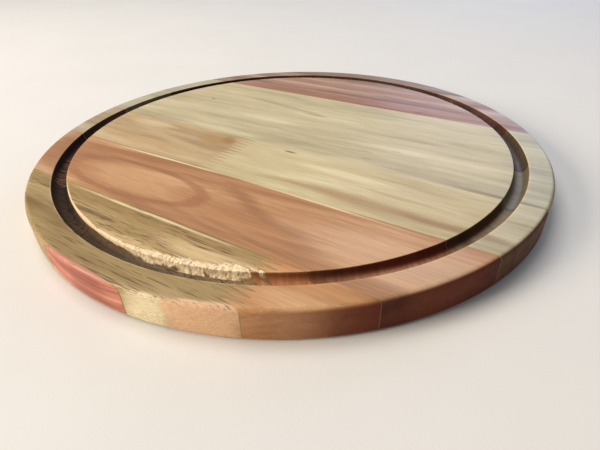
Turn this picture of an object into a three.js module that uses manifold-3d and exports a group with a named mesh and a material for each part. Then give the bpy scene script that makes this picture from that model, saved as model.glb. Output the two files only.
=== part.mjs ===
// A round serving and chopping board with a juice groove. Eight staves of solid wood are glued edge
// to edge, two of them are finger-jointed from two lengths, and the disc is cut from that panel.
//
// Millimetres, +Z up. The origin is the centre of the underside. +X runs along the grain of every
// stave and +Y runs across the staves, towards the back of the board.

import * as THREE from "three";
import { mergeVertices } from "three/addons/utils/BufferGeometryUtils.js";
import Module from "manifold-3d";

// The disc.
const BOARD_DIAMETER = 330;
const BOARD_THICKNESS = 18;
const ARRIS_RADIUS = 2.5; // the rounding along the top and bottom edges

// The juice groove, cut with a round-nosed router bit.
const RIM_WIDTH = 14; // the flat ring outside the groove
const GROOVE_WIDTH = 8;
const GROOVE_DEPTH = 6;

// The lay-up. Stave 1 is at the back and stave 8 at the front. Staves 2 to 6 have their full width,
// staves 1 and 7 keep what the disc leaves of them, and stave 8 is a sliver along the front edge.
const MIDDLE_JOINT_Y = -16.5; // the glue line between staves 4 and 5
const STAVE_2_WIDTH = 48.5;
const STAVE_3_WIDTH = 49.5;
const STAVE_4_WIDTH = 49;
const STAVE_5_WIDTH = 49.5;
const STAVE_6_WIDTH = 51;
const STAVE_8_WIDTH = 2.4;
const STAVE_8_SKEW = -3; // degrees that the front glue line is turned off the grain

// The glue: a cured film in every joint, with a hair of clearance on both of its faces.
const GLUE_FILM = 0.24;
const GLUE_CLEARANCE = 0.03;

// The finger joints, whose teeth show on the top and bottom faces.
const FINGER_LENGTH = 10;
const FINGER_PITCH = 3.8;
const FINGER_TIP = 0.6; // the blunt end of each finger
const FINGER_FILM = 0.5; // the film's thickness along the grain, thinner square to a flank
const STAVE_5_JOINT_X = -21.5; // the middle of the fingers in stave 5
const STAVE_7_RIGHT_LENGTH = 50.5; // the right-hand length of stave 7, along its back edge

// How finely round shapes are faceted.
const ROUND_SEGMENTS = 120;
const ARRIS_SEGMENTS = 4;
const GROOVE_SEGMENTS = 6;

const SLAB_MARGIN = 5; // how far a cutting block runs past the disc

const wasm = await Module();
wasm.setup();

const boardRadius = BOARD_DIAMETER / 2;

// ---- Solids and meshes ----

function solidOf(geometry) {
  geometry.deleteAttribute("normal");
  geometry.deleteAttribute("uv");
  const merged = mergeVertices(geometry);
  return new wasm.Manifold(
    new wasm.Mesh({
      numProp: 3,
      vertProperties: merged.attributes.position.array,
      triVerts: new Uint32Array(merged.index.array),
    }),
  );
}

function geometryOf(solid) {
  const { vertProperties, triVerts } = solid.getMesh();
  const shared = new THREE.BufferGeometry();
  shared.setAttribute("position", new THREE.BufferAttribute(vertProperties, 3));
  shared.setIndex(new THREE.BufferAttribute(triVerts, 1));
  const faceted = shared.toNonIndexed();
  faceted.computeVertexNormals();
  return faceted;
}

// ---- The whole disc, with its rounded edges and its groove ----

function arcPoints(centreRadius, centreHeight, radius, fromAngle, toAngle, segments) {
  const points = [];
  for (let step = 0; step <= segments; step += 1) {
    const angle = fromAngle + ((toAngle - fromAngle) * step) / segments;
    points.push(
      new THREE.Vector2(
        centreRadius + radius * Math.cos(angle),
        centreHeight + radius * Math.sin(angle),
      ),
    );
  }
  return points;
}

function discProfile() {
  const quarter = Math.PI / 2;
  const arrisCentre = boardRadius - ARRIS_RADIUS;
  const grooveOuter = boardRadius - RIM_WIDTH;
  const noseRadius = GROOVE_WIDTH / 2;
  const noseHeight = BOARD_THICKNESS - GROOVE_DEPTH + noseRadius;
  return [
    new THREE.Vector2(0, 0),
    ...arcPoints(arrisCentre, ARRIS_RADIUS, ARRIS_RADIUS, -quarter, 0, ARRIS_SEGMENTS),
    ...arcPoints(
      arrisCentre,
      BOARD_THICKNESS - ARRIS_RADIUS,
      ARRIS_RADIUS,
      0,
      quarter,
      ARRIS_SEGMENTS,
    ),
    new THREE.Vector2(grooveOuter, BOARD_THICKNESS),
    ...arcPoints(grooveOuter - noseRadius, noseHeight, noseRadius, 0, -2 * quarter, GROOVE_SEGMENTS),
    new THREE.Vector2(grooveOuter - GROOVE_WIDTH, BOARD_THICKNESS),
    new THREE.Vector2(0, BOARD_THICKNESS),
  ];
}

function discSolid() {
  const lathe = new THREE.LatheGeometry(discProfile(), ROUND_SEGMENTS);
  lathe.rotateX(Math.PI / 2);
  return solidOf(lathe);
}

const disc = discSolid();

// ---- Cutting blocks ----

const slabReach = boardRadius + SLAB_MARGIN;

// A block across the whole disc, between two heights of Y.
function slabBetween(frontY, backY) {
  const block = new THREE.BoxGeometry(
    2 * slabReach,
    backY - frontY,
    BOARD_THICKNESS + 2 * SLAB_MARGIN,
  );
  block.translate(0, (frontY + backY) / 2, BOARD_THICKNESS / 2);
  return solidOf(block);
}

// The same block, turned with the front glue line.
function skewedSlabBetween(frontY, backY) {
  return slabBetween(frontY, backY).rotate([0, 0, STAVE_8_SKEW]);
}

// The toothed line of a finger joint, from its front end to its back end, a little past both faces
// of the stave. middleX is the middle of the fingers. A finger that points towards the middle of the
// board is left out where the disc's edge would cut it off at its foot.
function fingerLine(middleX, frontY, backY) {
  const outwards = Math.sign(middleX);
  const tipX = middleX - (outwards * FINGER_LENGTH) / 2;
  const footX = middleX + (outwards * FINGER_LENGTH) / 2;
  const count = Math.ceil((backY - frontY) / FINGER_PITCH) + 2;
  const startY = (frontY + backY - count * FINGER_PITCH) / 2;
  const line = [];
  for (let finger = 0; finger < count; finger += 1) {
    const tipY = startY + finger * FINGER_PITCH;
    const footY = tipY + FINGER_PITCH / 2;
    const reachX = Math.hypot(footX, tipY) < boardRadius ? tipX : footX;
    line.push(new THREE.Vector2(reachX, tipY - FINGER_TIP / 2));
    line.push(new THREE.Vector2(reachX, tipY + FINGER_TIP / 2));
    line.push(new THREE.Vector2(footX, footY - FINGER_TIP / 2));
    line.push(new THREE.Vector2(footX, footY + FINGER_TIP / 2));
  }
  return line;
}

function shiftedAlongGrain(line, distance) {
  return line.map((point) => new THREE.Vector2(point.x + distance, point.y));
}

// A block that stands on the outline given, through the whole thickness of the board.
function prismOn(outline) {
  const prism = new THREE.ExtrudeGeometry(new THREE.Shape(outline), {
    depth: BOARD_THICKNESS + 2 * SLAB_MARGIN,
    bevelEnabled: false,
  });
  prism.translate(0, 0, -SLAB_MARGIN);
  return solidOf(prism);
}

function blockBesideLine(line, farX) {
  const first = line[0];
  const last = line[line.length - 1];
  return prismOn([new THREE.Vector2(farX, first.y), ...line, new THREE.Vector2(farX, last.y)]);
}

function bandAlongLine(line, thickness) {
  const left = shiftedAlongGrain(line, -thickness / 2);
  const right = shiftedAlongGrain(line, thickness / 2);
  return prismOn([...left, ...right.reverse()]);
}

// ---- The pieces ----

const board = new THREE.Group();

function woodFinish(colour) {
  return new THREE.MeshStandardMaterial({ color: colour, roughness: 0.42, metalness: 0 });
}

const glueFinish = new THREE.MeshStandardMaterial({ color: 0x4a3424, roughness: 0.5, metalness: 0 });

function addPiece(name, solid, material) {
  const piece = new THREE.Mesh(geometryOf(solid), material);
  piece.name = name;
  board.add(piece);
}

// The glue lines along the staves, by their Y.
const joint45 = MIDDLE_JOINT_Y;
const joint34 = joint45 + STAVE_4_WIDTH;
const joint23 = joint34 + STAVE_3_WIDTH;
const joint12 = joint23 + STAVE_2_WIDTH;
const joint56 = joint45 - STAVE_5_WIDTH;
const joint67 = joint56 - STAVE_6_WIDTH;
const joint78 = STAVE_8_WIDTH - boardRadius;

// Half of the space between two glued faces.
const bondHalf = GLUE_FILM / 2 + GLUE_CLEARANCE;

function staveSolid(frontJoint, backJoint) {
  return disc.intersect(slabBetween(frontJoint + bondHalf, backJoint - bondHalf));
}

// Staves made of one length.
const wholeStaves = [
  { name: "stave_1", front: joint12, back: slabReach, colour: 0xc89a72 },
  { name: "stave_2", front: joint23, back: joint12, colour: 0xb08068 },
  { name: "stave_3", front: joint34, back: joint23, colour: 0xcfc296 },
  { name: "stave_4", front: joint45, back: joint34, colour: 0xcdbf94 },
  { name: "stave_6", front: joint67, back: joint56, colour: 0xbf8f66 },
];

for (const { name, front, back, colour } of wholeStaves) {
  addPiece(name, staveSolid(front, back), woodFinish(colour));
}

const sliver = disc.intersect(skewedSlabBetween(-slabReach, joint78 - bondHalf));
addPiece("stave_8", sliver, woodFinish(0xc77a5c));

// Staves made of two lengths, with fingers between them.
const behindSliver = skewedSlabBetween(joint78 + bondHalf, slabReach);
const joint67HalfChord = Math.sqrt(boardRadius ** 2 - joint67 ** 2);
const jointedStaves = [
  {
    number: 5,
    stave: staveSolid(joint56, joint45),
    front: joint56,
    back: joint45,
    middleX: STAVE_5_JOINT_X,
    leftColour: 0xbfa377,
    rightColour: 0xcdb98c,
  },
  {
    number: 7,
    stave: staveSolid(-slabReach, joint67).intersect(behindSliver),
    front: joint78,
    back: joint67,
    middleX: joint67HalfChord - STAVE_7_RIGHT_LENGTH,
    leftColour: 0xb6a06c,
    rightColour: 0xb98457,
  },
];

for (const { number, stave, front, back, middleX, leftColour, rightColour } of jointedStaves) {
  const line = fingerLine(middleX, front, back);
  const halfGap = FINGER_FILM / 2 + GLUE_CLEARANCE;
  const leftBlock = blockBesideLine(shiftedAlongGrain(line, -halfGap), -slabReach);
  const rightBlock = blockBesideLine(shiftedAlongGrain(line, halfGap), slabReach);
  const left = stave.intersect(leftBlock);
  const right = stave.intersect(rightBlock);
  const film = stave.intersect(bandAlongLine(line, FINGER_FILM));
  addPiece(`stave_${number}_left`, left, woodFinish(leftColour));
  addPiece(`stave_${number}_right`, right, woodFinish(rightColour));
  addPiece(`finger_glue_${number}`, film, glueFinish);
}

// The films of glue between the staves.
const edgeJoints = {
  glue_line_1_2: joint12,
  glue_line_2_3: joint23,
  glue_line_3_4: joint34,
  glue_line_4_5: joint45,
  glue_line_5_6: joint56,
  glue_line_6_7: joint67,
};

for (const [name, jointY] of Object.entries(edgeJoints)) {
  const film = disc.intersect(slabBetween(jointY - GLUE_FILM / 2, jointY + GLUE_FILM / 2));
  addPiece(name, film, glueFinish);
}

const frontFilm = skewedSlabBetween(joint78 - GLUE_FILM / 2, joint78 + GLUE_FILM / 2);
addPiece("glue_line_7_8", disc.intersect(frontFilm), glueFinish);

export default board;
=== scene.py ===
# A round serving and chopping board: eight staves of oiled hardwood glued edge to edge, two of them
# finger-jointed from two lengths, turned to a disc and routed with a juice groove. Metres, +Z up,
# +X along the grain, +Y across the staves, and the middle of the underside at the origin.
import math

import bmesh
import bpy
from mathutils import Matrix, Vector, noise


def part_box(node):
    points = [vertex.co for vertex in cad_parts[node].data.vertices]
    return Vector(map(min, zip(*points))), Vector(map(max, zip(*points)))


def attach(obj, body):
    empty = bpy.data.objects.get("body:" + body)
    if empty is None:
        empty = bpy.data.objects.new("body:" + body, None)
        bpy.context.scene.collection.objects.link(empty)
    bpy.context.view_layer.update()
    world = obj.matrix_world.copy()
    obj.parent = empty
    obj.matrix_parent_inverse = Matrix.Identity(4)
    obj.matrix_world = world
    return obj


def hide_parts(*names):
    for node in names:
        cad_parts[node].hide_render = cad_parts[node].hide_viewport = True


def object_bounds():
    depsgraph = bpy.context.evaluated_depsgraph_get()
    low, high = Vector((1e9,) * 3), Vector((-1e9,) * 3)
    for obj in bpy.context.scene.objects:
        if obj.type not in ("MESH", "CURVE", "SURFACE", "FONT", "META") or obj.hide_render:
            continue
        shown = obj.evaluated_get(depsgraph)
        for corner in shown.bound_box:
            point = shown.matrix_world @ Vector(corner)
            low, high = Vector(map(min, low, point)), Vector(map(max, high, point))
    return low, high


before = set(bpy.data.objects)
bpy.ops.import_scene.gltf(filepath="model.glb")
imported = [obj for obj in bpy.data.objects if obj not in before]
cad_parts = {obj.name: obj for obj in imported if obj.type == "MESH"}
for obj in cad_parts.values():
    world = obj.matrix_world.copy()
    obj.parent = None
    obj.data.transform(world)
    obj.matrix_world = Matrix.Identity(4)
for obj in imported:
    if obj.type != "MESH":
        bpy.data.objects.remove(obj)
cad_box = [list(corner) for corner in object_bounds()]

MM = 0.001

# ---- Stave 1 ----
# The back stave, a segment of orange-tan heartwood. It is sawn, like every stave, out of the turned
# disc: both edges are rounded over, and a round-nosed cutter has run the juice groove near the rim.

ARRIS_ROUNDING = 2.5 * MM
RIM_WIDTH = 14 * MM
GROOVE_WIDTH = 8 * MM
GROOVE_DEPTH = 6 * MM
GROOVE_ARRIS = 0.5 * MM  # the groove's own top edges, eased by the sander
TURNED_STEPS = 360
TURNING_SLACK = 0.001 * MM  # keeps the turned shape's last digits inside the CAD box
EASED_REACH = 9 * MM  # how far the finely divided edge of the cutting face runs in from the groove
WELD = 0.01 * MM
SAW_TOLERANCE = 0.001 * MM
CREASE_ANGLE = 32  # degrees; the edges that turn more sharply stay crisp

board_radius = (cad_box[1][0] - cad_box[0][0]) / 2 - TURNING_SLACK
board_top = cad_box[1][2]
groove_outer = board_radius - RIM_WIDTH
groove_inner = groove_outer - GROOVE_WIDTH
groove_floor = board_top - GROOVE_DEPTH

FILM_HALF = 0.07 * MM  # half of a closed glue line, as it shows between two staves


def joint_place(film_node):
    """The Y of a glue line between two staves."""
    low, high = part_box(film_node)
    return (low[1] + high[1]) / 2


def rounded(work, corners, radius, segments):
    """Rounds corners of the half outline, before it is turned."""
    bmesh.ops.bevel(
        work, geom=corners, offset=radius, offset_type="OFFSET", segments=segments, profile=0.5,
        affect="VERTICES", clamp_overlap=False, material=-1,
    )


def turned_disc(edge_rings=0):
    """The whole disc, turned from its half outline. edge_rings divides the face by the groove."""
    work = bmesh.new()
    outline = [
        (board_radius - 2 * ARRIS_ROUNDING, 0),
        (board_radius, 0),
        (board_radius, board_top),
        (groove_outer, board_top),
        (groove_outer, groove_floor),
        (groove_inner, groove_floor),
        (groove_inner, board_top),
        (groove_inner - EASED_REACH, board_top),
    ]
    points = [work.verts.new((radius, 0, height)) for radius, height in outline]
    for pair in zip(points, points[1:]):
        work.edges.new(pair)
    rounded(work, points[1:3], ARRIS_ROUNDING, 8)
    rounded(work, [points[3], points[6]], GROOVE_ARRIS, 4)
    rounded(work, points[4:6], GROOVE_WIDTH / 2, 12)
    bmesh.ops.remove_doubles(work, verts=work.verts, dist=WELD)
    if edge_rings:
        inner_end = min(work.verts, key=lambda point: point.co.x - point.co.z)
        bmesh.ops.subdivide_edges(work, edges=inner_end.link_edges[:], cuts=edge_rings)
    bmesh.ops.spin(
        work, geom=work.verts[:] + work.edges[:], cent=(0, 0, 0), axis=(0, 0, 1), dvec=(0, 0, 0),
        angle=2 * math.pi, steps=TURNED_STEPS, use_merge=True,
    )
    bmesh.ops.remove_doubles(work, verts=work.verts, dist=WELD)
    open_rims = [edge for edge in work.edges if edge.is_boundary]
    bmesh.ops.holes_fill(work, edges=open_rims, sides=0)
    bmesh.ops.recalc_face_normals(work, faces=work.faces)
    return work


def sawn(work, front=None, back=None, skew=0.0):
    """Keeps what lies between two planes across the disc, and closes the sawn faces. skew turns
    both planes off the grain, in degrees."""
    turn = math.radians(skew)
    across = Vector((-math.sin(turn), math.cos(turn), 0))
    for place, outwards in ((front, -1), (back, 1)):
        if place is None:
            continue
        everything = work.verts[:] + work.edges[:] + work.faces[:]
        cut = bmesh.ops.bisect_plane(
            work, geom=everything, dist=SAW_TOLERANCE, plane_co=across * place,
            plane_no=across * outwards, clear_outer=True,
        )
        kerf = [part for part in cut["geom_cut"] if isinstance(part, bmesh.types.BMEdge)]
        bmesh.ops.holes_fill(work, edges=kerf, sides=0)
    return work


def settled(work, drop):
    """Wood moves a little after sanding, and a stave's face ends a hair under its neighbour's."""
    for point in work.verts:
        point.co.z *= 1 - drop / board_top
    return work


def laid_up(work, name, node, finish):
    """Makes the piece, with crisp sawn edges and smooth rounds, hangs it on the root body and hides
    the CAD node it stands for.
    """
    mesh = bpy.data.meshes.new(name)
    work.to_mesh(mesh)
    work.free()
    mesh.shade_smooth()
    mesh.set_sharp_from_angle(angle=math.radians(CREASE_ANGLE))
    mesh.materials.append(finish)
    piece = bpy.data.objects.new(name, mesh)
    bpy.context.scene.collection.objects.link(piece)
    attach(piece, "root")
    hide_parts(node)
    return piece


def tint(hex_colour):
    """A hex colour as linear red, green, blue and alpha."""
    channels = [int(hex_colour[at : at + 2], 16) / 255 for at in (0, 2, 4)]
    return [c / 12.92 if c <= 0.04045 else ((c + 0.055) / 1.055) ** 2.4 for c in channels] + [1]


class Finish:
    """A procedural finish, wired up step by step."""

    def __init__(self, name):
        self.material = bpy.data.materials.new(name)
        self.material.use_nodes = True
        self.tree = self.material.node_tree
        self.tree.nodes.clear()

    def node(self, kind, sockets=None, **settings):
        made = self.tree.nodes.new("ShaderNode" + kind)
        for setting, value in settings.items():
            setattr(made, setting, value)
        for key, value in (sockets or {}).items():
            if isinstance(value, bpy.types.NodeSocket):
                self.tree.links.new(value, made.inputs[key])
            else:
                made.inputs[key].default_value = value
        return made

    def maths(self, operation, *values):
        return self.node("Math", dict(enumerate(values)), operation=operation).outputs[0]

    def vector(self, operation, *values):
        made = self.node("VectorMath", dict(enumerate(values)), operation=operation)
        return made.outputs["Value" if operation in ("DOT_PRODUCT", "LENGTH") else "Vector"]

    def ramp(self, value, start, end, low=0.0, high=1.0):
        """Eases from low to high while value goes from start to end."""
        sockets = {"Value": value, 1: start, 2: end, 3: low, 4: high}
        return self.node("MapRange", sockets, interpolation_type="SMOOTHSTEP").outputs[0]

    def blend(self, share, under, over, how="MIX"):
        sockets = {0: share, 6: under, 7: over}
        return self.node("Mix", sockets, data_type="RGBA", blend_type=how).outputs[2]

    def grains(self, place, stretch, detail=2.0, roughness=0.5, output="Fac"):
        """Noise on place, with that many features to the metre along each axis."""
        scaled = self.vector("MULTIPLY", place, stretch)
        sockets = {"Vector": scaled, "Scale": 1.0, "Detail": detail, "Roughness": roughness}
        return self.node("TexNoise", sockets).outputs[output]


def figure(finish, colour, place, ragged, mark):
    """Paints one patch, streak or ring of the timber's figure over colour."""
    local = finish.node(
        "Mapping",
        {
            "Vector": place,
            "Location": (mark["x"] * MM, mark["y"] * MM, 0),
            "Rotation": (0, 0, math.radians(mark.get("turn", 0))),
            "Scale": (mark["long"] * MM, mark["wide"] * MM, 1),
        },
        vector_type="TEXTURE",
    ).outputs[0]
    tatter = finish.maths("MULTIPLY", ragged, mark.get("ragged", 1.0))
    reach = finish.maths("ADD", finish.vector("LENGTH", local), tatter)
    if "band" in mark:
        off_line = finish.maths("ABSOLUTE", finish.maths("SUBTRACT", reach, 1.0))
        reach = finish.maths("DIVIDE", off_line, mark["band"])
    share = finish.ramp(reach, 1.0, 1.0 - mark.get("soft", 0.7), 0.0, mark["share"])
    return finish.blend(share, colour, tint(mark["tone"]))


def timber(
    name, dark, middle, light, pith, lean=(0.0, 0.0), ring=5.0, contrast=1.0, marks=(),
    torn=None, pores=0.35, pore_tone="4a3222", shine=0.44, left_tone="e4d4c8", right_end_tone_and_shade="c8a884",
    groove_tone_and_shade="b0a294", stripes=0.06, edge_wear_and_highlight=0.2, rim_cool_sheen=0.9,
):
    """An oiled hardwood. pith is where the heart of its log runs, in millimetres of Y and Z, lean
    its slope along the stave, ring the width of a growth ring and contrast how plain the rings are.
    torn gives the X where torn wood begins and where it is at its worst, pores how many dark
    dashes show, stripes how plain the cutter's marks are, edge_wear_and_highlight how much oil has
    gone from the groove's edges, together with the painted highlight along them, and rim_cool_sheen
    how strong the painted cool sheen on the rim is."""
    finish = Finish(name)
    place = finish.node("TexCoord").outputs["Object"]
    drift = finish.grains(place, (7.0, 26.0, 26.0), output="Color")
    shift = finish.vector("MULTIPLY", drift, (0.0, 9 * MM, 9 * MM))
    shift = finish.vector("SUBTRACT", shift, (0.0, 4.5 * MM, 4.5 * MM))
    wander = finish.vector("ADD", place, shift)

    # growth rings round the heart of the log
    across = finish.vector("DOT_PRODUCT", wander, (-lean[0], 1.0, 0.0))
    upwards = finish.vector("DOT_PRODUCT", wander, (-lean[1], 0.0, 1.0))
    across = finish.maths("SUBTRACT", across, pith[0] * MM)
    upwards = finish.maths("SUBTRACT", upwards, pith[1] * MM)
    heart = finish.maths("POWER", across, 2.0)
    heart = finish.maths("ADD", heart, finish.maths("POWER", upwards, 2.0))
    rings = finish.maths("DIVIDE", finish.maths("SQRT", heart), ring * MM)
    bands = finish.node(
        "TexNoise", {"W": rings, "Scale": 1.0, "Detail": 3.0, "Roughness": 0.6},
        noise_dimensions="1D",
    ).outputs[0]
    cloud = finish.grains(wander, (9.0, 75.0, 75.0), 2.0)
    streak = finish.grains(wander, (12.0, 240.0, 240.0), 3.0, 0.55)
    tone = finish.maths("MULTIPLY_ADD", bands, 1.3 * contrast, 0.5 - 0.65 * contrast)
    tone = finish.maths("ADD", tone, finish.maths("MULTIPLY_ADD", cloud, 1.5, -0.75))
    tone = finish.maths("ADD", tone, finish.maths("MULTIPLY_ADD", streak, 0.45, -0.225))
    colour = finish.blend(finish.ramp(tone, 0.05, 0.5), tint(dark), tint(middle))
    colour = finish.blend(finish.ramp(tone, 0.5, 0.95), colour, tint(light))

    # the figure that this piece of wood has
    ragged = finish.grains(wander, (22.0, 190.0, 190.0), 3.0, 0.6)
    ragged = finish.maths("MULTIPLY_ADD", ragged, 0.7, -0.35)
    for mark in marks:
        colour = figure(finish, colour, wander, ragged, mark)

    # fibres, and the open pores that the oil has darkened
    fibre = finish.grains(wander, (45.0, 1500.0, 1500.0), 3.0, 0.65)
    fibre_shade = finish.ramp(fibre, 0.25, 0.75, 0.88, 1.1)
    shaded = finish.node("VectorMath", {0: colour, "Scale": fibre_shade}, operation="SCALE")
    colour = shaded.outputs["Vector"]
    dashes = finish.grains(wander, (55.0, 2300.0, 2300.0), 2.0, 0.5)
    groups = finish.grains(wander, (9.0, 120.0, 120.0), 2.0)
    dashes = finish.maths("ADD", dashes, finish.maths("MULTIPLY_ADD", groups, 0.5, -0.25))
    pore = finish.ramp(dashes, 0.53, 0.70, 0.0, pores)
    facing = finish.node("NewGeometry").outputs["Normal"]
    upright = finish.vector("DOT_PRODUCT", facing, (0.0, 0.0, 1.0))
    face_on = finish.ramp(finish.maths("ABSOLUTE", upright), 0.2, 0.8, 0.3, 1.0)
    pore = finish.maths("MULTIPLY", pore, face_on)
    colour = finish.blend(pore, colour, tint(pore_tone))

    # end grain drinks the oil and goes darker, and the right-hand ends are darker still with
    # painted shade
    end_on = finish.vector("DOT_PRODUCT", facing, (1.0, 0.0, 0.0))
    left_end = finish.ramp(finish.maths("MULTIPLY", end_on, -1.0), 0.35, 0.72)
    right_end = finish.ramp(end_on, 0.35, 0.72)
    colour = finish.blend(left_end, colour, tint(left_tone), "MULTIPLY")
    colour = finish.blend(right_end, colour, tint(right_end_tone_and_shade), "MULTIPLY")
    end_grain = finish.maths("ADD", left_end, right_end)

    # a painted cool sheen on the rim outside the groove: a bluish tint over its top
    flat = finish.vector("MULTIPLY", place, (1.0, 1.0, 0.0))
    mid_groove = (groove_inner + groove_outer) / 2
    from_groove = finish.maths("SUBTRACT", finish.vector("LENGTH", flat), mid_groove)
    rim_sheen_share = finish.ramp(from_groove, GROOVE_WIDTH / 2, GROOVE_WIDTH / 2 + 2 * MM)
    rim_sheen_share = finish.maths("MULTIPLY", rim_sheen_share, finish.ramp(upright, 0.2, 0.9, 0.0, rim_cool_sheen))
    colour = finish.blend(rim_sheen_share, colour, tint("e9f1ff"), "MULTIPLY")

    # a pale line along the groove's two edges: dry wood where the sander broke them, and a painted
    # highlight along their rounding
    off_line = finish.maths("ABSOLUTE", from_groove)
    parts = finish.node("SeparateXYZ", {0: place})
    height = parts.outputs["Z"]
    pale_edge_and_highlight = finish.maths("ABSOLUTE", finish.maths("SUBTRACT", off_line, GROOVE_WIDTH / 2))
    pale_edge_and_highlight = finish.ramp(pale_edge_and_highlight, 0.75 * MM, 0.25 * MM)
    near_top = finish.ramp(height, board_top - 1.2 * MM, board_top)
    pale_edge_and_highlight = finish.maths("MULTIPLY", pale_edge_and_highlight, near_top)
    worn = finish.grains(place, (90.0, 90.0, 90.0), 2.0)
    pale_edge_and_highlight = finish.maths("MULTIPLY", pale_edge_and_highlight, finish.ramp(worn, 0.35, 0.65, 0.0, edge_wear_and_highlight))
    colour = finish.blend(pale_edge_and_highlight, colour, tint("e4d2a8"))

    # the groove, striped by the cutter and darkened by its tone, which is partly oil and partly
    # painted shade; a painted shadow deepens it towards the front left
    groove_half = GROOVE_WIDTH / 2
    in_groove = finish.ramp(off_line, groove_half + GROOVE_ARRIS, groove_half + 0.1 * MM)
    below = finish.ramp(height, board_top - 0.02 * MM, board_top - 0.25 * MM)
    in_groove = finish.maths("MULTIPLY", in_groove, below)
    above = finish.ramp(height, groove_floor - 2 * MM, groove_floor - 1 * MM)
    in_groove = finish.maths("MULTIPLY", in_groove, above)
    round_groove = finish.maths("ARCTAN2", parts.outputs["Y"], parts.outputs["X"])
    chatter = finish.node(
        "TexNoise", {"W": round_groove, "Scale": mid_groove / (2.4 * MM), "Detail": 2.0},
        noise_dimensions="1D",
    ).outputs[0]
    burnt = finish.ramp(chatter, 0.35, 0.65, 1.0, 1.0 - stripes)
    leftwards = finish.ramp(parts.outputs["X"], 70 * MM, -70 * MM)
    forwards = finish.ramp(parts.outputs["Y"], -25 * MM, -75 * MM)
    front_left_shade = finish.maths("MULTIPLY", leftwards, forwards)
    front_left_shade_groove = finish.maths("MULTIPLY", in_groove, front_left_shade)
    # painted shadow: the groove's tone goes to a dark brown towards the front left
    groove_tone_shaded = finish.blend(front_left_shade, tint(groove_tone_and_shade), tint("503414"))
    striped = finish.maths("MULTIPLY", in_groove, burnt)
    colour = finish.blend(striped, colour, groove_tone_shaded, "MULTIPLY")

    # worn and torn wood, pale and dry where the edge of the groove has lost its oil, its palest
    # tone a painted highlight on the torn fibres
    if torn:
        raw = finish.node("Attribute", attribute_name="torn").outputs["Fac"]
        tufts = finish.grains(place, (1100.0, 420.0, 300.0), 3.0, 0.65)
        frayed = finish.ramp(parts.outputs["X"], *torn, 0.3, 1.0)
        tufts = finish.maths("MULTIPLY_ADD", finish.maths("SUBTRACT", tufts, 0.45), frayed, 0.5)
        raw = finish.maths("MULTIPLY_ADD", tufts, 0.7, raw)
        pale = finish.blend(finish.ramp(tufts, 0.32, 0.65), tint("b48e60"), tint("f2e0bc"))
        colour = finish.blend(finish.ramp(raw, 0.45, 1.0, 0.0, 0.85), colour, pale)

    # satin oil, a little duller where the grain is open
    gloss = finish.ramp(streak, 0.3, 0.7, shine + 0.07, shine - 0.04)
    gloss = finish.maths("ADD", gloss, finish.maths("MULTIPLY", pore, 0.25))
    gloss = finish.maths("ADD", gloss, finish.maths("MULTIPLY", end_grain, 0.3))
    gloss = finish.maths("ADD", gloss, finish.maths("MULTIPLY", front_left_shade_groove, 0.3))
    relief = finish.maths("ADD", finish.maths("MULTIPLY", fibre, 0.35), streak)
    relief = finish.maths("SUBTRACT", relief, finish.maths("MULTIPLY", pore, 1.6))
    bumped = finish.node("Bump", {"Strength": 0.22, "Distance": 0.12 * MM, "Height": relief})
    oiled = finish.node(
        "BsdfPrincipled",
        {
            "Base Color": colour,
            "Roughness": gloss,
            "Specular IOR Level": 0.35,
            "Normal": bumped.outputs[0],
        },
    )
    finish.node("OutputMaterial", {"Surface": oiled.outputs[0]})
    return finish.material


disc = turned_disc()
joint_12 = joint_place("glue_line_1_2")
laid_up(
    settled(sawn(disc.copy(), front=joint_12 + FILM_HALF), drop=0.03 * MM),
    "back_stave_1", "stave_1",
    timber(
        "oiled_tan_heartwood", "806048", "98785e", "b09074", pith=(170, -30), ring=4.5,
        groove_tone_and_shade="6e5040",
        marks=[
            {"x": -62, "y": 131, "long": 5, "wide": 1.2, "turn": 60, "tone": "5a3c2c",
             "share": 0.6},
            {"x": 95, "y": 132, "long": 45, "wide": 9, "tone": "d0b09c", "share": 0.7},
        ],
    ),
)

# ---- Stave 2 ----
# Pink-brown heartwood, glued along both edges. A darker band runs along its front edge, beside the
# pale stave 3.

joint_23 = joint_place("glue_line_2_3")
stave_2 = sawn(disc.copy(), front=joint_23 + FILM_HALF, back=joint_12 - FILM_HALF)
laid_up(
    settled(stave_2, drop=0.01 * MM), "stave_2_heartwood", "stave_2",
    timber(
        "oiled_pink_heartwood", "886252", "a4806c", "ba9a84", pith=(60, -45), ring=6,
        right_end_tone_and_shade="c09880", groove_tone_and_shade="7c6a6a",
        marks=[
            {"x": 5, "y": 88, "long": 165, "wide": 11, "tone": "94644c", "share": 0.75},
            {"x": 30, "y": 84, "long": 40, "wide": 3, "tone": "7e4c38", "share": 0.5},
            {"x": 62, "y": 88, "long": 5, "wide": 2, "turn": 30, "tone": "7c5048", "share": 0.5},
            {"x": 125, "y": 108, "long": 45, "wide": 14, "tone": "cfb0a0", "share": 0.6},
        ],
    ),
)

# ---- Stave 3 ----
# Pale sapwood, cream with a grey-olive streak, one small pip and a browner left end. It is glued
# along both edges, between staves 2 and 4.

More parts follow.
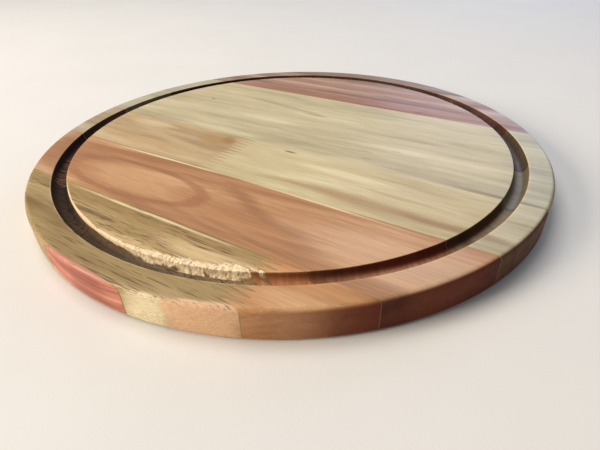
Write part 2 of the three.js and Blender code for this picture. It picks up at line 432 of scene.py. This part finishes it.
joint_34 = joint_place("glue_line_3_4")
laid_up(
    sawn(disc.copy(), front=joint_34 + FILM_HALF, back=joint_23 - FILM_HALF),
    "stave_3_sapwood", "stave_3",
    timber(
        "oiled_cream_sapwood", "a69a78", "beb18d", "d0c4a0", pith=(60, -90), ring=9, contrast=0.55,
        pores=0.16, pore_tone="7d6c4c", right_end_tone_and_shade="c8b490", groove_tone_and_shade="6a6266",
        marks=[
            {"x": -40, "y": 52, "long": 55, "wide": 4, "turn": -8, "tone": "9a9070", "share": 0.55},
            {"x": -5, "y": 45, "long": 14, "wide": 2.5, "tone": "8c8466", "share": 0.45},
            {"x": -102, "y": 37, "long": 4, "wide": 1.5, "turn": -30, "tone": "7c7050",
             "share": 0.7},
            {"x": -135, "y": 55, "long": 25, "wide": 20, "tone": "c8b098", "share": 0.6},
        ],
    ),
)

# ---- Stave 4 ----
# Pale sapwood again, with soft grey clouds and a dark weathered line where its front joint meets
# the right-hand rim.

joint_45 = joint_place("glue_line_4_5")
stave_4 = sawn(disc.copy(), front=joint_45 + FILM_HALF, back=joint_34 - FILM_HALF)
laid_up(
    settled(stave_4, drop=0.02 * MM), "stave_4_sapwood", "stave_4",
    timber(
        "oiled_pale_sapwood", "a89c7c", "c1b491", "d4c8a6", pith=(10, -80), ring=8, contrast=0.55,
        pores=0.14, pore_tone="786a4c", right_end_tone_and_shade="d8ccb8", groove_tone_and_shade="a4a4a8",
        marks=[
            {"x": -105, "y": -5, "long": 40, "wide": 8, "tone": "a89a74", "share": 0.55},
            {"x": 20, "y": 18, "long": 60, "wide": 7, "turn": 2, "tone": "a69c7c", "share": 0.4},
            {"x": -50, "y": -12, "long": 45, "wide": 5, "tone": "d6cca6", "share": 0.5},
            {"x": 60, "y": -8, "long": 5, "wide": 1.8, "tone": "8e8468", "share": 0.5},
            {"x": 55, "y": 3, "long": 6, "wide": 1.5, "tone": "928a6c", "share": 0.4},
            {"x": 72, "y": 12, "long": 6, "wide": 1.5, "tone": "928a6c", "share": 0.35},
            {"x": 145, "y": -15.5, "long": 52, "wide": 2.6, "tone": "6a644c", "share": 0.65,
             "soft": 0.95},
        ],
    ),
)

# ---- Stave 5 ----
# Two lengths with fingers cut into their meeting ends and glued: straw-coloured wood with a brown
# patch on the left, cream sapwood with a brown streak on the right.

FINGER_LENGTH = 10 * MM
FINGER_PITCH = 3.8 * MM
FINGER_TIP = 0.6 * MM
FINGER_FILM = 0.35 * MM  # the glue between the fingers, measured along the grain
TRIM_WELD = 0.002 * MM


def finger_line(film_node, front, back):
    """The toothed line through the middle of a finger joint, between a stave's two glue lines."""
    low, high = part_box(film_node)
    middle = (low[0] + high[0]) / 2
    outwards = math.copysign(1, middle)
    tip = middle - outwards * FINGER_LENGTH / 2
    foot = middle + outwards * FINGER_LENGTH / 2
    count = math.ceil((back - front) / FINGER_PITCH) + 2
    start = (front + back - count * FINGER_PITCH) / 2
    line = []
    for finger in range(count):
        tip_y = start + finger * FINGER_PITCH
        foot_y = tip_y + FINGER_PITCH / 2
        reach = tip if math.hypot(foot, tip_y) < board_radius else foot
        line += [(reach, tip_y - FINGER_TIP / 2), (reach, tip_y + FINGER_TIP / 2)]
        line += [(foot, foot_y - FINGER_TIP / 2), (foot, foot_y + FINGER_TIP / 2)]
    return line


def standing_block(outline):
    """A cutting block that stands on an outline and runs through both faces of the board."""
    block = bmesh.new()
    base = block.faces.new([block.verts.new((x, y, -board_top)) for x, y in outline])
    risen = bmesh.ops.extrude_face_region(block, geom=[base])
    top = [part for part in risen["geom"] if isinstance(part, bmesh.types.BMVert)]
    bmesh.ops.translate(block, verts=top, vec=(0, 0, 3 * board_top))
    bmesh.ops.recalc_face_normals(block, faces=block.faces)
    return block


def kept_inside(work, block):
    """The part of work that lies inside a cutting block."""
    pair = []
    for part, name in ((work, "blank"), (block, "cutter")):
        mesh = bpy.data.meshes.new(name)
        part.to_mesh(mesh)
        part.free()
        pair.append(bpy.data.objects.new(name, mesh))
        bpy.context.scene.collection.objects.link(pair[-1])
    blank, cutter = pair
    trim = blank.modifiers.new("trim", "BOOLEAN")
    trim.operation = "INTERSECT"
    trim.solver = "MANIFOLD"
    trim.object = cutter
    shapes = bpy.context.evaluated_depsgraph_get()
    kept = bmesh.new()
    kept.from_mesh(blank.evaluated_get(shapes).to_mesh())
    for part in pair:
        mesh = part.data
        bpy.data.objects.remove(part)
        bpy.data.meshes.remove(mesh)
    bmesh.ops.remove_doubles(kept, verts=kept.verts, dist=TRIM_WELD)
    return kept


def finger_jointed(stave, film_node, front, back):
    """A stave's left length, its right length and the film of glue between their fingers."""
    line = finger_line(film_node, front, back)
    (_, first_y), (_, last_y) = line[0], line[-1]
    left_edge = [(x - FINGER_FILM / 2, y) for x, y in line]
    right_edge = [(x + FINGER_FILM / 2, y) for x, y in line]
    far = 2 * board_radius
    return (
        kept_inside(stave.copy(), standing_block([(-far, first_y), *left_edge, (-far, last_y)])),
        kept_inside(stave.copy(), standing_block([(far, first_y), *right_edge, (far, last_y)])),
        kept_inside(stave, standing_block([*left_edge, *reversed(right_edge)])),
    )


def glue_finish(name, tone, spot):
    """Cured wood glue, mottled where it soaked into the wood beside it."""
    finish = Finish(name)
    place = finish.node("TexCoord").outputs["Object"]
    soak = finish.grains(place, (160.0, 900.0, 900.0), 3.0, 0.6)
    colour = finish.blend(finish.ramp(soak, 0.35, 0.65), tint(tone), tint(spot))
    dull = finish.ramp(soak, 0.3, 0.7, 0.42, 0.6)
    bumped = finish.node("Bump", {"Strength": 0.2, "Distance": 0.05 * MM, "Height": soak})
    cured = finish.node(
        "BsdfPrincipled", {"Base Color": colour, "Roughness": dull, "Normal": bumped.outputs[0]}
    )
    finish.node("OutputMaterial", {"Surface": cured.outputs[0]})
    return finish.material


glue_amber = glue_finish("cured_glue_amber", "94734c", "b09066")
glue_dark = glue_finish("cured_glue_dark", "7a5632", "94703f")

joint_56 = joint_place("glue_line_5_6")
stave_5 = sawn(disc.copy(), front=joint_56 + FILM_HALF, back=joint_45 - FILM_HALF)
left_5, right_5, film_5 = finger_jointed(stave_5, "finger_glue_5", joint_56, joint_45)
laid_up(
    settled(left_5, drop=0.04 * MM), "stave_5_straw_length", "stave_5_left",
    timber(
        "oiled_straw_wood", "a08662", "b8a07a", "c8b490", pith=(-20, -70), ring=7, contrast=0.8,
        pores=0.22, pore_tone="6b4c30", groove_tone_and_shade="907058",
        marks=[
            {"x": -80, "y": -54, "long": 62, "wide": 10, "tone": "b48e60", "share": 0.55},
            {"x": -44, "y": -29, "long": 20, "wide": 9, "tone": "a8834f", "share": 0.7},
            {"x": -34, "y": -25, "long": 9, "wide": 6, "turn": -35, "tone": "946c40", "share": 0.6,
             "ragged": 0.5},
            {"x": -40, "y": -20, "long": 14, "wide": 2, "tone": "8e8058", "share": 0.5},
            {"x": -105, "y": -28, "long": 30, "wide": 6, "tone": "d6c09c", "share": 0.6},
        ],
    ),
)
laid_up(
    right_5, "stave_5_cream_length", "stave_5_right",
    timber(
        "oiled_streaked_sapwood", "a8966e", "c2b28a", "d2c6a0", pith=(-50, -60), ring=8,
        contrast=0.6, pores=0.18, pore_tone="7c5c38", right_end_tone_and_shade="7e543a",
        marks=[
            {"x": 85, "y": -54, "long": 80, "wide": 7.5, "tone": "a08058", "share": 0.75},
            {"x": 125, "y": -55, "long": 45, "wide": 4, "tone": "8c6c48", "share": 0.6},
            {"x": 13, "y": -20.8, "long": 7, "wide": 1.5, "tone": "6a5c3c", "share": 0.85},
            {"x": 55, "y": -33, "long": 45, "wide": 5, "tone": "ddd0a8", "share": 0.6},
            {"x": 100, "y": -42, "long": 30, "wide": 2, "tone": "a89068", "share": 0.5},
        ],
    ),
)
laid_up(film_5, "finger_joint_5_film", "finger_glue_5", glue_amber)

# ---- Stave 6 ----
# Orange-brown heartwood, flat sawn, so its rings close in a pale oval with a darker line round it.
# It is one length, glued along both edges.

joint_67 = joint_place("glue_line_6_7")
stave_6 = sawn(disc.copy(), front=joint_67 + FILM_HALF, back=joint_56 - FILM_HALF)
laid_up(
    settled(stave_6, drop=0.03 * MM), "stave_6_heartwood", "stave_6",
    timber(
        "oiled_orange_heartwood", "946848", "ae8058", "c69a72", pith=(-98, -20), lean=(0.03, 0.05),
        ring=6, contrast=0.8, pores=0.2, pore_tone="6e4428", left_tone="f0e4e0",
        right_end_tone_and_shade="84461a", groove_tone_and_shade="ccb4ac", stripes=0.35, rim_cool_sheen=0.4,
        marks=[
            {"x": -75, "y": -74, "long": 60, "wide": 6, "tone": "96643f", "share": 0.65},
            {"x": -52, "y": -97, "long": 55, "wide": 13, "tone": "c0946a", "share": 0.8,
             "ragged": 0.4},
            {"x": -50, "y": -96.5, "long": 52, "wide": 15, "band": 0.16, "tone": "966442",
             "share": 0.65, "ragged": 0.25},
            {"x": -85, "y": -100, "long": 22, "wide": 5, "tone": "a87650", "share": 0.5},
            {"x": 28, "y": -86, "long": 36, "wide": 6.5, "turn": -24, "tone": "8a5a3c",
             "share": 0.6, "soft": 0.9},
            {"x": 42, "y": -100, "long": 40, "wide": 4, "turn": -6, "tone": "aa7852", "share": 0.5},
            {"x": 90, "y": -84, "long": 45, "wide": 3, "turn": -6, "tone": "a4744c", "share": 0.6},
            # a painted highlight: a pale patch on the right of the top
            {"x": 115, "y": -92, "long": 75, "wide": 26, "tone": "dcb694", "share": 0.6},
            {"x": -125, "y": -90, "long": 60, "wide": 28, "tone": "9c6c48", "share": 0.6},
            # painted light: a paler patch over the left end
            {"x": -156, "y": -80, "long": 20, "wide": 34, "tone": "bca48e", "share": 0.6},
            {"x": 0, "y": -67.0, "long": 140, "wide": 1.5, "tone": "ead8ae", "share": 0.9,
             "ragged": 0.6},
        ],
    ),
)

# ---- Stave 7 ----
# Olive-cream wood full of dark pores on the left, finger-jointed to a short orange length on the
# right. The cutter ran against the grain here and tore chips out of the groove's inner edge.

TORN_RINGS = 24
TORN_CUTS = 5  # further cuts along the groove's edge, between two steps of the turning
CHIP_DEPTH = 0.9 * MM
CHIP_REACH = 4.4 * MM  # how far in from the groove the longest chips go
CHIP_WALL = 4.5 * MM  # how far down the groove's wall they go
TORN_STEP = 1.2 * MM  # longer mesh edges than this are divided before the tearing
TORN_FROM = -25 * MM
TORN_FULL = 40 * MM
TORN_TO = 69 * MM
TORN_FADE = 6 * MM
WORN_FROM = -105 * MM  # left of the chips the edge is only worn round
WORN_ONSET = 60 * MM

SLIVER_WIDTH = 2.4 * MM
SLIVER_SKEW = -3  # degrees that the front glue line is turned off the grain
joint_78 = SLIVER_WIDTH - board_radius


def eased(value, start, end):
    """Eases from 0 to 1 while value goes from start to end."""
    share = min(max((value - start) / (end - start), 0.0), 1.0)
    return share * share * (3 - 2 * share)


def tear_at(place):
    """How far the edge is torn rather than only worn, from 0 to 1."""
    return eased(place.x, TORN_FROM, TORN_FULL)


def chipped(place):
    """How much of the groove's inner edge has gone at a point near it, from 0 to 1."""
    inwards = max(groove_inner - math.hypot(place.x, place.y), 0.0)
    downwards = max(board_top - GROOVE_ARRIS - place.z, 0.0)
    tear = tear_at(place)
    sweep = noise.noise(Vector((place.x / (11 * MM), 2.3, 0.0)))
    fibre = noise.noise(Vector((place.x / (4 * MM), place.y / (0.8 * MM), 5.7)))
    ragged = 0.15 * sweep + tear * (0.35 * sweep + 0.5 * fibre)
    reach = CHIP_REACH * (0.25 + 0.5 * tear + ragged)
    off_edge = inwards + 0.75 * downwards
    if off_edge >= reach:
        return 0.0
    strength = eased(place.x, WORN_FROM, WORN_FROM + WORN_ONSET)
    strength *= eased(place.x, TORN_TO, TORN_TO - TORN_FADE)
    return strength * (1 - off_edge / reach) ** 0.6


def near_edge(point):
    """Whether a mesh point lies where the groove's inner edge may be worn or torn."""
    from_edge = math.hypot(point.co.x, point.co.y) - groove_inner
    return (
        point.co.z > board_top - CHIP_WALL
        and -CHIP_REACH - 0.5 * MM < from_edge < 0.4 * GROOVE_WIDTH
        and WORN_FROM < point.co.x < TORN_TO
    )


def torn_out(work):
    """Divides the groove's inner edge finely and tears the chips out of it."""
    coarse = [
        edge
        for edge in work.edges
        if edge.calc_length() > TORN_STEP and all(near_edge(point) for point in edge.verts)
    ]
    bmesh.ops.subdivide_edges(work, edges=coarse, cuts=TORN_CUTS, use_grid_fill=True)
    torn = work.verts.layers.float.new("torn")
    for point in work.verts:
        if near_edge(point):
            share = chipped(point.co)
            point[torn] = share
            round_edge = math.atan2(point.co.y, point.co.x) * groove_inner
            bite = noise.fractal(
                Vector((round_edge / (2.4 * MM), point.co.z / (4 * MM), share)), 0.8, 2.0, 3
            )
            depth = CHIP_DEPTH * share * (0.7 + 0.7 * bite * tear_at(point.co))
            outwards = point.co.xy.normalized()
            point.co.z -= depth
            point.co.xy -= outwards * depth / 2
    return work


stave_7 = sawn(turned_disc(TORN_RINGS), front=joint_78 + FILM_HALF, skew=SLIVER_SKEW)
stave_7 = sawn(stave_7, back=joint_67 - FILM_HALF)
left_7, right_7, film_7 = finger_jointed(stave_7, "finger_glue_7", joint_78, joint_67)
laid_up(
    settled(torn_out(left_7), drop=0.05 * MM), "stave_7_olive_length", "stave_7_left",
    timber(
        "oiled_olive_wood", "7e6238", "a08656", "bea274", pith=(-150, -60), ring=3.5, contrast=0.9,
        pores=0.8, pore_tone="4c3418", left_tone="ecd4ac", right_end_tone_and_shade="e4c8a0",
        torn=(TORN_FROM, TORN_FULL), edge_wear_and_highlight=0.6, rim_cool_sheen=0.4,
        marks=[
            {"x": 10, "y": -123, "long": 130, "wide": 4.5, "tone": "94774a", "share": 0.6},
            {"x": -12, "y": -118.4, "long": 78, "wide": 1.3, "tone": "e6d4a6", "share": 0.75,
             "ragged": 0.8},
            {"x": -42, "y": -132, "long": 30, "wide": 2.2, "tone": "5c4426", "share": 0.7},
            {"x": 42, "y": -131, "long": 48, "wide": 9, "tone": "dabe90", "share": 0.7},
            {"x": -10, "y": -140, "long": 50, "wide": 3, "tone": "d6ba88", "share": 0.5},
            {"x": 0, "y": -157, "long": 60, "wide": 4, "tone": "86683c", "share": 0.5},
            # painted light: two cream patches over the front side, where the wood of the top is
            # olive
            {"x": 32, "y": -165, "long": 24, "wide": 6, "turn": 11, "tone": "e2d2aa", "share": 0.95,
             "soft": 0.35, "ragged": 0.4},
            {"x": 59, "y": -157.5, "long": 29, "wide": 7.5, "turn": 20, "tone": "dcb088",
             "share": 0.92, "soft": 0.25, "ragged": 0.5},
        ],
    ),
)
laid_up(
    right_7, "stave_7_orange_length", "stave_7_right",
    timber(
        "oiled_dark_orange_wood", "9c6a40", "bc8858", "d2a276", pith=(-130, -50), lean=(0.0, 0.04),
        ring=5, contrast=0.8, pores=0.25, pore_tone="6c3e20", right_end_tone_and_shade="8c4a14",
        groove_tone_and_shade="dcc8c2", stripes=0.5, rim_cool_sheen=0.4,
        marks=[
            {"x": 90, "y": -135, "long": 30, "wide": 10, "tone": "dcb080", "share": 0.5},
            # painted shade: a deeper orange over the front side
            {"x": 88, "y": -147, "long": 34, "wide": 7, "turn": 32, "tone": "c6762c", "share": 0.8},
            {"x": 80, "y": -148, "long": 22, "wide": 1.4, "turn": 12, "tone": "8c5224",
             "share": 0.5},
        ],
    ),
)
laid_up(film_7, "finger_joint_7_film", "finger_glue_7", glue_dark)

# ---- Stave 8 ----
# What the disc leaves of the front stave: a sliver of red heartwood, about two and a half
# millimetres wide at its middle. Its glue line was laid up three degrees off the grain.

laid_up(
    sawn(disc.copy(), back=joint_78 - FILM_HALF, skew=SLIVER_SKEW),
    "front_sliver_8", "stave_8",
    timber(
        "oiled_red_heartwood", "985040", "bc755c", "daa084", pith=(-190, 40), ring=3, contrast=0.9,
        pores=0.3, pore_tone="7c3c2c", left_tone="d8a890", right_end_tone_and_shade="d09078",
        marks=[
            {"x": -8, "y": -164.2, "long": 30, "wide": 0.8, "tone": "8c4630", "share": 0.5},
        ],
    ),
)

# ---- Glue lines ----
# The films of glue in the seven joints between the staves, wiped flush before the disc was turned.
# The two at the front have gone darker.

for number in range(1, 8):
    node = f"glue_line_{number}_{number + 1}"
    place = joint_78 if number == 7 else joint_place(node)
    skew = SLIVER_SKEW if number == 7 else 0.0
    film = sawn(disc.copy(), front=place - FILM_HALF, back=place + FILM_HALF, skew=skew)
    laid_up(
        settled(film, drop=0.05 * MM), f"glue_film_{number}_{number + 1}", node,
        glue_dark if number > 5 else glue_amber,
    )

# ---- Floor, light and camera ----
# A plain pale floor, a warm soft light low on the left, a cool broad one far back on the right and
# a third high up on the left.

FLOOR_HALF = 6.0
AMBIENT = 0.31
CAMERA_BEARING = 33.2  # degrees round the board, so that the grain runs away to the left
CAMERA_DISTANCE = 0.2822
CAMERA_HEIGHT = 0.1378
CAMERA_TURN = 32.16
CAMERA_TILT = 34.55
CAMERA_ROLL = -1.47
FOCAL_LENGTH = 25.98

floor_work = bmesh.new()
bmesh.ops.create_grid(floor_work, x_segments=1, y_segments=1, size=FLOOR_HALF)
floor_mesh = bpy.data.meshes.new("floor")
floor_work.to_mesh(floor_mesh)
floor_work.free()
floor = bpy.data.objects.new("floor", floor_mesh)
bpy.context.scene.collection.objects.link(floor)
paper = Finish("pale_floor")
spot = paper.node("TexCoord").outputs["Object"]
mottle = paper.grains(spot, (9.0, 9.0, 9.0), 4.0, 0.6)
speck = paper.grains(spot, (900.0, 900.0, 900.0), 2.0)
pale = paper.blend(mottle, tint("d2d0cc"), tint("dbd9d5"))
grit = paper.node("Bump", {"Strength": 0.25, "Distance": 0.2 * MM, "Height": speck})
matt = paper.node(
    "BsdfPrincipled", {"Base Color": pale, "Roughness": 0.75, "Normal": grit.outputs[0]}
)
paper.node("OutputMaterial", {"Surface": matt.outputs[0]})
floor_mesh.materials.append(paper.material)

world = bpy.data.worlds.new("studio")
world.use_nodes = True
sky = world.node_tree.nodes["Background"]
sky.inputs["Color"].default_value = tint("dfe4ea")
sky.inputs["Strength"].default_value = AMBIENT
bpy.context.scene.world = world
bpy.context.scene.view_settings.view_transform = "Standard"


def soft_light(name, bearing, elevation, distance, size, power, colour):
    """A square soft box aimed at the board. Bearing 0 is straight behind it from the camera."""
    lamp = bpy.data.lights.new(name, "AREA")
    lamp.shape = "SQUARE"
    lamp.size = size
    lamp.energy = power
    lamp.color = tint(colour)[:3]
    heading = math.radians(CAMERA_TURN + bearing)
    rise = math.radians(elevation)
    level = math.cos(rise)
    away = Vector((-math.sin(heading) * level, math.cos(heading) * level, math.sin(rise)))
    stand = bpy.data.objects.new(name, lamp)
    stand.location = away * distance
    stand.rotation_euler = away.to_track_quat("Z", "Y").to_euler()
    bpy.context.scene.collection.objects.link(stand)


soft_light(
    "warm_key", bearing=107, elevation=24, distance=2.2, size=0.8, power=54, colour="fff0dc"
)
soft_light(
    "cool_window", bearing=-32, elevation=19, distance=2.4, size=1.6, power=17, colour="c4d8ff"
)
soft_light(
    "top_fill", bearing=60, elevation=70, distance=2.0, size=1.2, power=25, colour="fffaf4"
)

lens = bpy.data.cameras.new("camera")
lens.lens = FOCAL_LENGTH
camera = bpy.data.objects.new("camera", lens)
bearing = math.radians(CAMERA_BEARING)
stand_point = Vector(
    (math.sin(bearing) * CAMERA_DISTANCE, -math.cos(bearing) * CAMERA_DISTANCE, CAMERA_HEIGHT)
)
camera.matrix_world = (
    Matrix.Translation(stand_point)
    @ Matrix.Rotation(math.radians(CAMERA_TURN), 4, "Z")
    @ Matrix.Rotation(math.radians(90 - CAMERA_TILT), 4, "X")
    @ Matrix.Rotation(math.radians(CAMERA_ROLL), 4, "Z")
)
bpy.context.scene.collection.objects.link(camera)
bpy.context.scene.camera = camera
